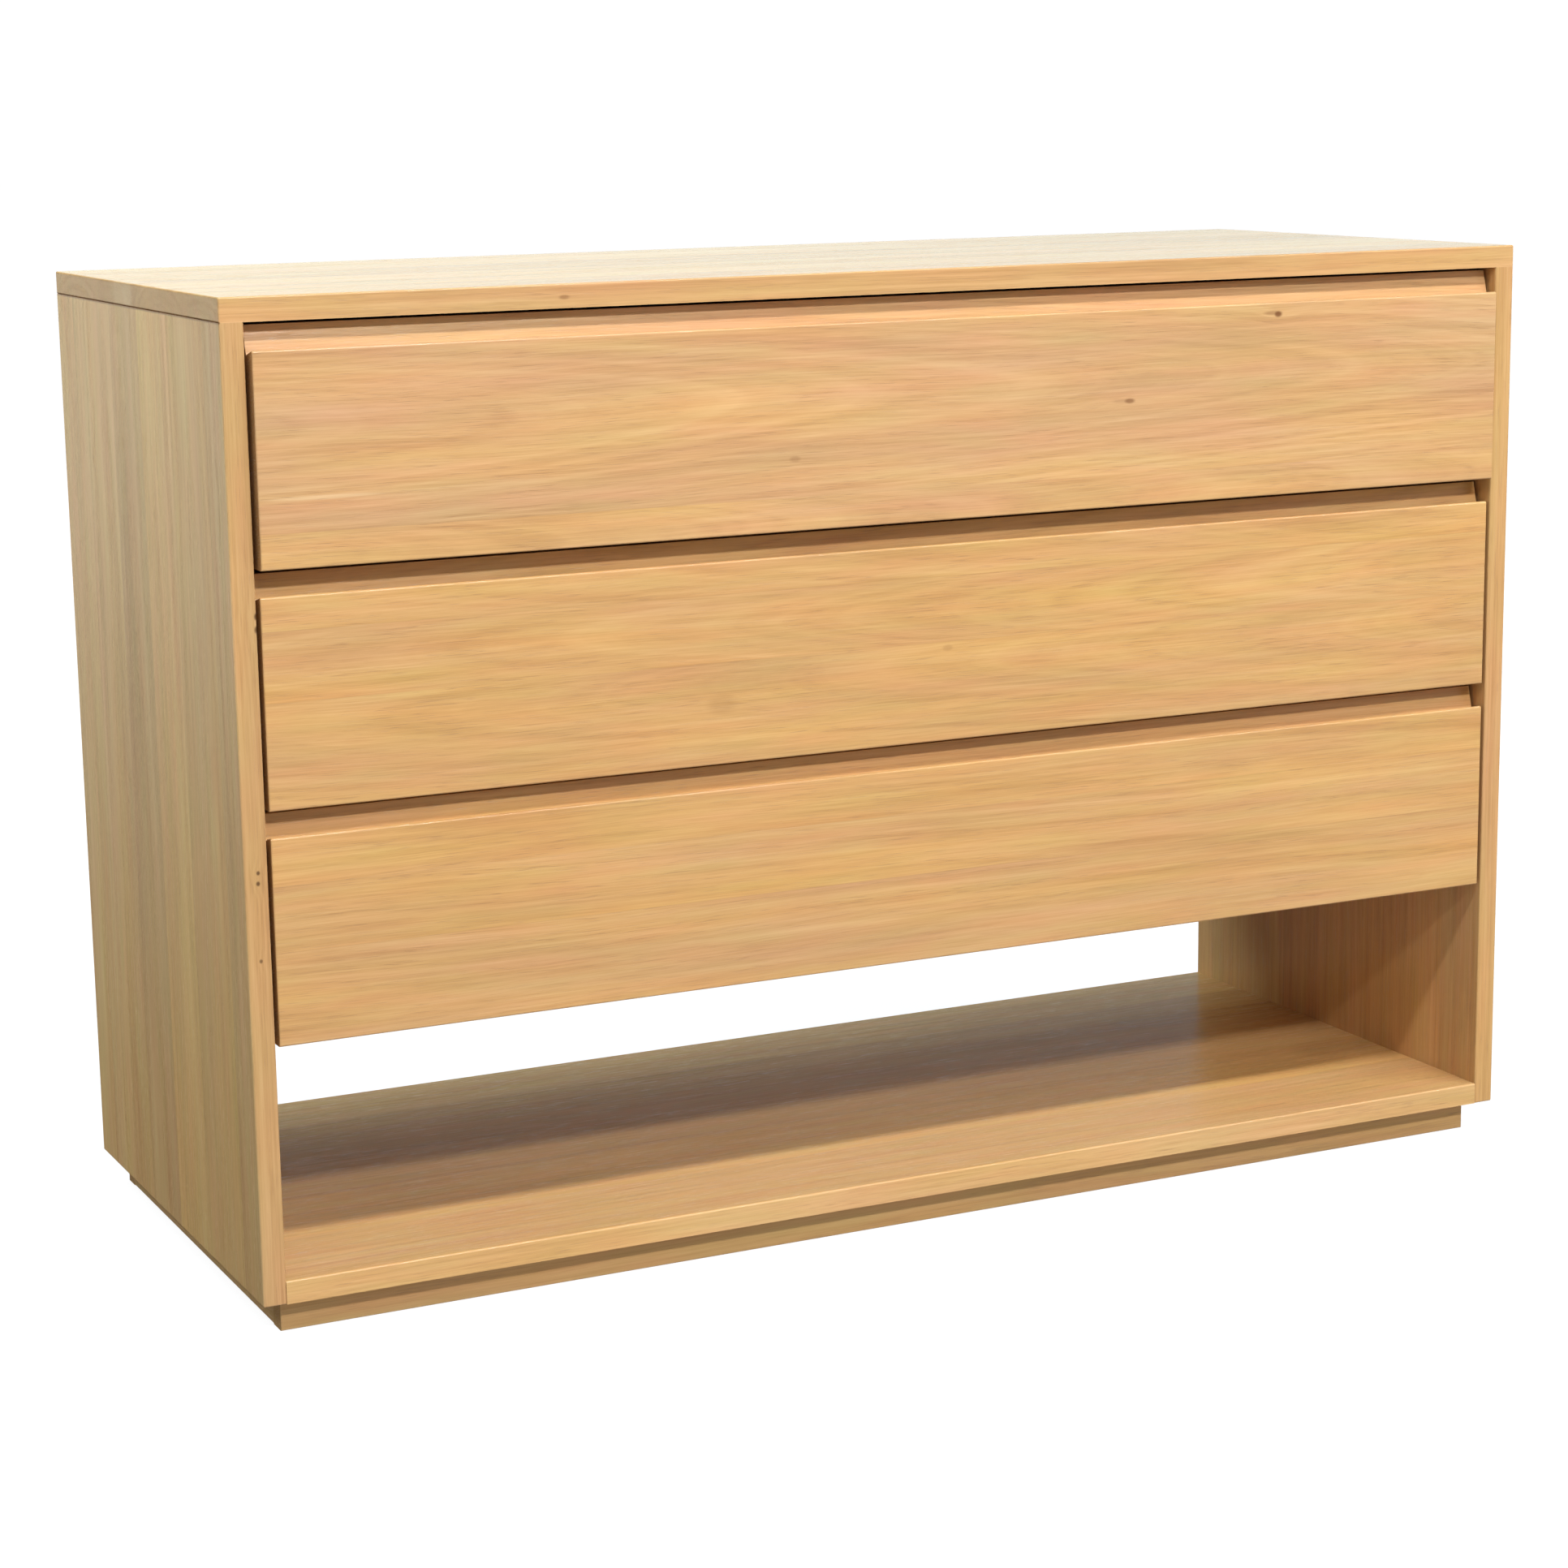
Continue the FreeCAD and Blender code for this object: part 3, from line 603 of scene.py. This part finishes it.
def marks_of_the_top():
    """A small knot on the front edge, a pale patch in the end grain at the left, and painted shade
    along the joint with the left side.
    """
    low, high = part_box("top_panel")
    middle = (low.z + high.z) / 2
    return (
        Mark(on_face(low, 0.2920, 0.0090), 0.0026, 2.5, 0.45),
        Mark((low.x, low.y + 0.2620, middle), 0.0200, 1.0, 0.22, PALE_COLOUR),
        Mark((low.x, low.y + 0.2880, middle), 0.0260, 1.0, 0.16, PALE_COLOUR),
        painted_shade_under_the_top(),
    )


def marks_of_the_shelf():
    """A brownish patch near the right end."""
    low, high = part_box("bottom_shelf")
    return (Mark((high.x - 0.0470, low.y + 0.1760, high.z), 0.0420, 1.4, 0.22),)


def dress_carcass():
    top = (
        Board(0.17, 0.52, 0.50, 0.13, 0.10), Board(0.30, 0.60, 0.40, 0.57, 0.35),
        Board(0.24, 0.45, 0.55, 0.31, 0.60), Board(0.29, 0.55, 0.45, 0.83, 0.85),
    )
    dress("top_panel", oak("oak_top", "top_panel", "x", "y", top, CALM, marks_of_the_top()))
    left = (
        Board(0.095, 0.20, 0.52, 0.11, 0.30), Board(0.205, 0.52, 0.40, 0.47, 0.20),
        Board(0.176, 0.86, 0.30, 0.71, 0.42), Board(0.174, 0.20, 0.50, 0.23, 0.60),
        Board(0.244, 0.56, 0.46, 0.89, 0.70), Board(0.106, 0.72, 0.50, 0.37, 0.95),
    )
    dress("left_side_panel",
          oak("oak_left_side", "left_side_panel", "z", "y", left, CALM, marks_of_the_left_side()))
    right = (
        Board(0.118, 0.05, 0.50, 0.19, 0.15), Board(0.256, 0.42, 0.45, 0.68, 0.25),
        Board(0.290, 0.52, 0.58, 0.41, 0.50), Board(0.272, 0.46, 0.50, 0.07, 0.75),
        Board(0.064, 0.72, 0.45, 0.86, 0.98),
    )
    dress("right_side_panel",
          oak("oak_right_side", "right_side_panel", "z", "y", right, CALM, (), RIGHT_SIDE_TINT))
    dress("bottom_shelf",
          oak("oak_shelf", "bottom_shelf", "x", "y", random_boards(5, 9), CALM,
              marks_of_the_shelf(), SHELF_TINT))
    dress("rear_rail", oak("oak_rear_rail", "rear_rail", "x", "z", random_boards(1, 3), CALM))
    dress("back_panel", plywood("plywood_back", "back_panel", "z", "x", "y", BACK_PLY))


def dress_plinth():
    for node in ("plinth_front", "plinth_back"):
        dress(node, oak("oak_" + node, node, "x", "z", random_boards(1, node), CALM))
    for node in ("plinth_left", "plinth_right", "plinth_brace"):
        dress(node, oak("oak_" + node, node, "y", "z", random_boards(1, node), CALM))
    blocks = "plinth_corner_blocks"
    dress(blocks, oak("oak_" + blocks, blocks, "z", "x", random_boards(1, blocks), CALM))


def dress_fronts():
    upper = (Board(0.147, 0.52, 0.30, 0.42, 0.05), Board(0.853, 0.56, 0.58, 0.18, 0.58))
    dress("upper_drawer_front",
          oak("oak_upper_front", "upper_drawer_front", "x", "z", upper, NARROWING,
              knots_of_the_upper_front(), UPPER_FRONT_TINT, FRONT_END_GRAIN_AND_PAINTED_SHADE))
    middle = (
        Board(0.46, 0.51, 0.46, 0.64, 0.36), Board(0.305, 0.50, 0.40, 0.27, 0.62),
        Board(0.235, 0.50, 0.34, 0.93, 0.95),
    )
    dress("middle_drawer_front",
          oak("oak_middle_front", "middle_drawer_front", "x", "z", middle, WIDENING,
              knots_of_the_middle_front(), MIDDLE_FRONT_TINT, FRONT_END_GRAIN_AND_PAINTED_SHADE))
    lower = (
        Board(0.41, 0.44, 0.56, 0.52, 0.10), Board(0.29, 0.50, 0.42, 0.36, 0.40),
        Board(0.30, 0.54, 0.34, 0.79, 0.75),
    )
    dress("lower_drawer_front",
          oak("oak_lower_front", "lower_drawer_front", "x", "z", lower, FLAT_SAWN,
              (), LOWER_FRONT_TINT, FRONT_END_GRAIN_AND_PAINTED_SHADE))


def dress_boxes(dowel, rail, fastener):
    for drawer in DRAWERS:
        head = drawer + "_drawer_"
        for side in SIDES:
            node = head + side + "_side"
            dress(node, oak("oak_" + node, node, "y", "z", random_boards(2, node), CALM, (), BOX_TINT))
            dress(head + side + "_rail", rail)
            dress(head + side + "_cabinet_rail", rail)
            dress(head + side + "_telescope_rail", rail)
        node = head + "back"
        dress(node, oak("oak_" + node, node, "x", "z", random_boards(2, node), CALM, (), BOX_TINT))
        node = head + "bottom"
        dress(node, plywood("plywood_" + node, node, "x", "y", "z", BOTTOM_PLY))
        dress(head + "dowels", dowel)
        dress(head + "rail_screws", fastener)


def dress_all():
    dowel = beech()
    rail = zinc("zinc_rails", RAIL_ZINC, RAIL_ROLLING)
    fastener = zinc("zinc_screws", SCREW_ZINC, SCREW_ROLLING)
    dress_carcass()
    dress_plinth()
    dress_fronts()
    dress_boxes(dowel, rail, fastener)
    for node in ("top_dowels", "shelf_dowels", "rail_dowels"):
        dress(node, dowel)
    for node in ("back_panel_screws", "cabinet_rail_screws", "plinth_screws"):
        dress(node, fastener)


def pale_backdrop():
    """Matt white that glows, a little less near the chest, where shadows fall."""
    finish = Finish("pale_backdrop")
    cloud = finish.noise(finish.place(), FLOOR_CLOUD)
    finish.surface("Base Color", finish.mix(cloud, BACKDROP_DARK, BACKDROP_LIGHT))
    finish.surface("Roughness", BACKDROP_ROUGHNESS)
    finish.surface("Specular IOR Level", 0.0)
    finish.surface("Emission Color", WHITE + (1.0,))
    away = finish.length(finish.place())
    finish.surface("Emission Strength", finish.reach(away, *GLOW_DISTANCES, NEAR_GLOW, FAR_GLOW))
    return finish.material


def backdrop():
    """A pale floor under a white dome: it shows faint shadows, and throws no light back."""
    shell = bmesh.new()
    bmesh.ops.create_uvsphere(shell, u_segments=BACKDROP_SEGMENTS, v_segments=BACKDROP_SEGMENTS // 2,
                              radius=BACKDROP_RADIUS)
    for corner in shell.verts:
        corner.co.z = max(corner.co.z, 0.0)
    mesh = bpy.data.meshes.new("backdrop")
    shell.to_mesh(mesh)
    shell.free()
    made = bpy.data.objects.new("backdrop", mesh)
    scene.collection.objects.link(made)
    mesh.materials.append(pale_backdrop())
    made.visible_diffuse = False
    made.visible_glossy = False
    made.visible_shadow = False


def area_light(name, direction, distance, length, width, power, colour=WHITE):
    """A soft light that faces the chest, its length along the chest's width."""
    toward = Vector(direction).normalized()
    across = Vector((1.0, 0.0, 0.0))
    across = (across - across.dot(toward) * toward).normalized()
    up = toward.cross(across)
    lamp = bpy.data.lights.new(name, "AREA")
    lamp.shape = "RECTANGLE"
    lamp.size = length
    lamp.size_y = width
    lamp.energy = power
    lamp.color = colour
    made = bpy.data.objects.new(name, lamp)
    scene.collection.objects.link(made)
    turn = Matrix((across, up, toward)).transposed().to_4x4()
    made.matrix_world = Matrix.Translation(toward * distance) @ turn
    made.visible_camera = False
    return made


def light():
    """Two rows of strips high in front, and broad lights from the sides and behind without glare."""
    for name, aside, power in HIGH_STRIPS:
        area_light("high_strip_" + name, direction=(aside, -0.64, 1.0), distance=STRIP_DISTANCE,
                   length=STRIP_LENGTH, width=0.36, power=power)
    area_light("low_strip", direction=(0.0, -1.27, 1.0), distance=STRIP_DISTANCE,
               length=STRIP_LENGTH, width=0.34, power=240.0)
    broad = (
        area_light("right_fill", direction=(1.0, -0.9, 0.35), distance=5.0,
                   length=3.0, width=3.0, power=24.0),
        area_light("left_fill", direction=(-1.0, 0.5, 1.6), distance=3.2,
                   length=2.4, width=2.4, power=103.0, colour=COOL),
        area_light("low_left_fill", direction=(-1.0, 0.0, 0.25), distance=4.0,
                   length=2.4, width=2.4, power=23.0, colour=COOL),
        area_light("back_fill", direction=(0.15, 1.0, 0.55), distance=6.0,
                   length=4.0, width=4.0, power=48.0),
    )
    for lamp in broad:
        lamp.visible_glossy = False


def surroundings():
    """A dark room with a pale wall and floor in front of the chest, and windows low behind it."""
    world = bpy.data.worlds.new("studio")
    scene.world = world
    world.use_nodes = True
    shading = Shading(world.node_tree)
    x, y, z = shading.parts(shading.node("ShaderNodeTexCoord").outputs["Generated"])
    below_horizon = shading.reach(z, *HORIZON)
    wall = shading.maths("MULTIPLY", shading.reach(z, *WALL_FOOT), shading.reach(z, *WALL_HEAD))
    front = shading.mix(wall, DARK_ROOM, FRONT_WALL)
    floor = shading.mix(shading.reach(z, *FLOOR_NEARS), FAR_FLOOR, NEAR_FLOOR)
    front = shading.mix(below_horizon, front, floor)
    rear = shading.mix(shading.reach(z, *REAR_WALL_HEAD), DARK_ROOM, REAR_WALL)
    rear = shading.mix(shading.reach(z, *WINDOW_HEAD), rear, WINDOW_GLOW)
    rear = shading.mix(shading.reach(x, *REAR_LEFT_END), DARK_ROOM, rear)
    rear = shading.mix(below_horizon, rear, REAR_FLOOR)
    rear = shading.mix(shading.reach(z, *REAR_FLOOR_ENDS), rear, DARK_ROOM)
    colour = shading.mix(shading.reach(y, *FRONT_MEETS_REAR), front, rear)
    background = shading.nodes["Background"]
    shading.feed(background.inputs["Color"], colour)
    background.inputs["Strength"].default_value = 1.0


def camera():
    data = bpy.data.cameras.new("camera")
    data.lens = FOCAL_LENGTH
    data.sensor_width = SENSOR_WIDTH
    data.sensor_fit = "HORIZONTAL"
    made = bpy.data.objects.new("camera", data)
    scene.collection.objects.link(made)
    turn = Matrix.Rotation(-CAMERA_TURN, 4, "Z")
    dip = Matrix.Rotation(math.pi / 2 - CAMERA_DIP, 4, "X")
    roll = Matrix.Rotation(-CAMERA_ROLL, 4, "Z")
    made.matrix_world = Matrix.Translation(CAMERA_PLACE) @ turn @ dip @ roll
    scene.camera = made


scene.view_settings.view_transform = "Standard"
dress_all()
backdrop()
light()
surroundings()
camera()
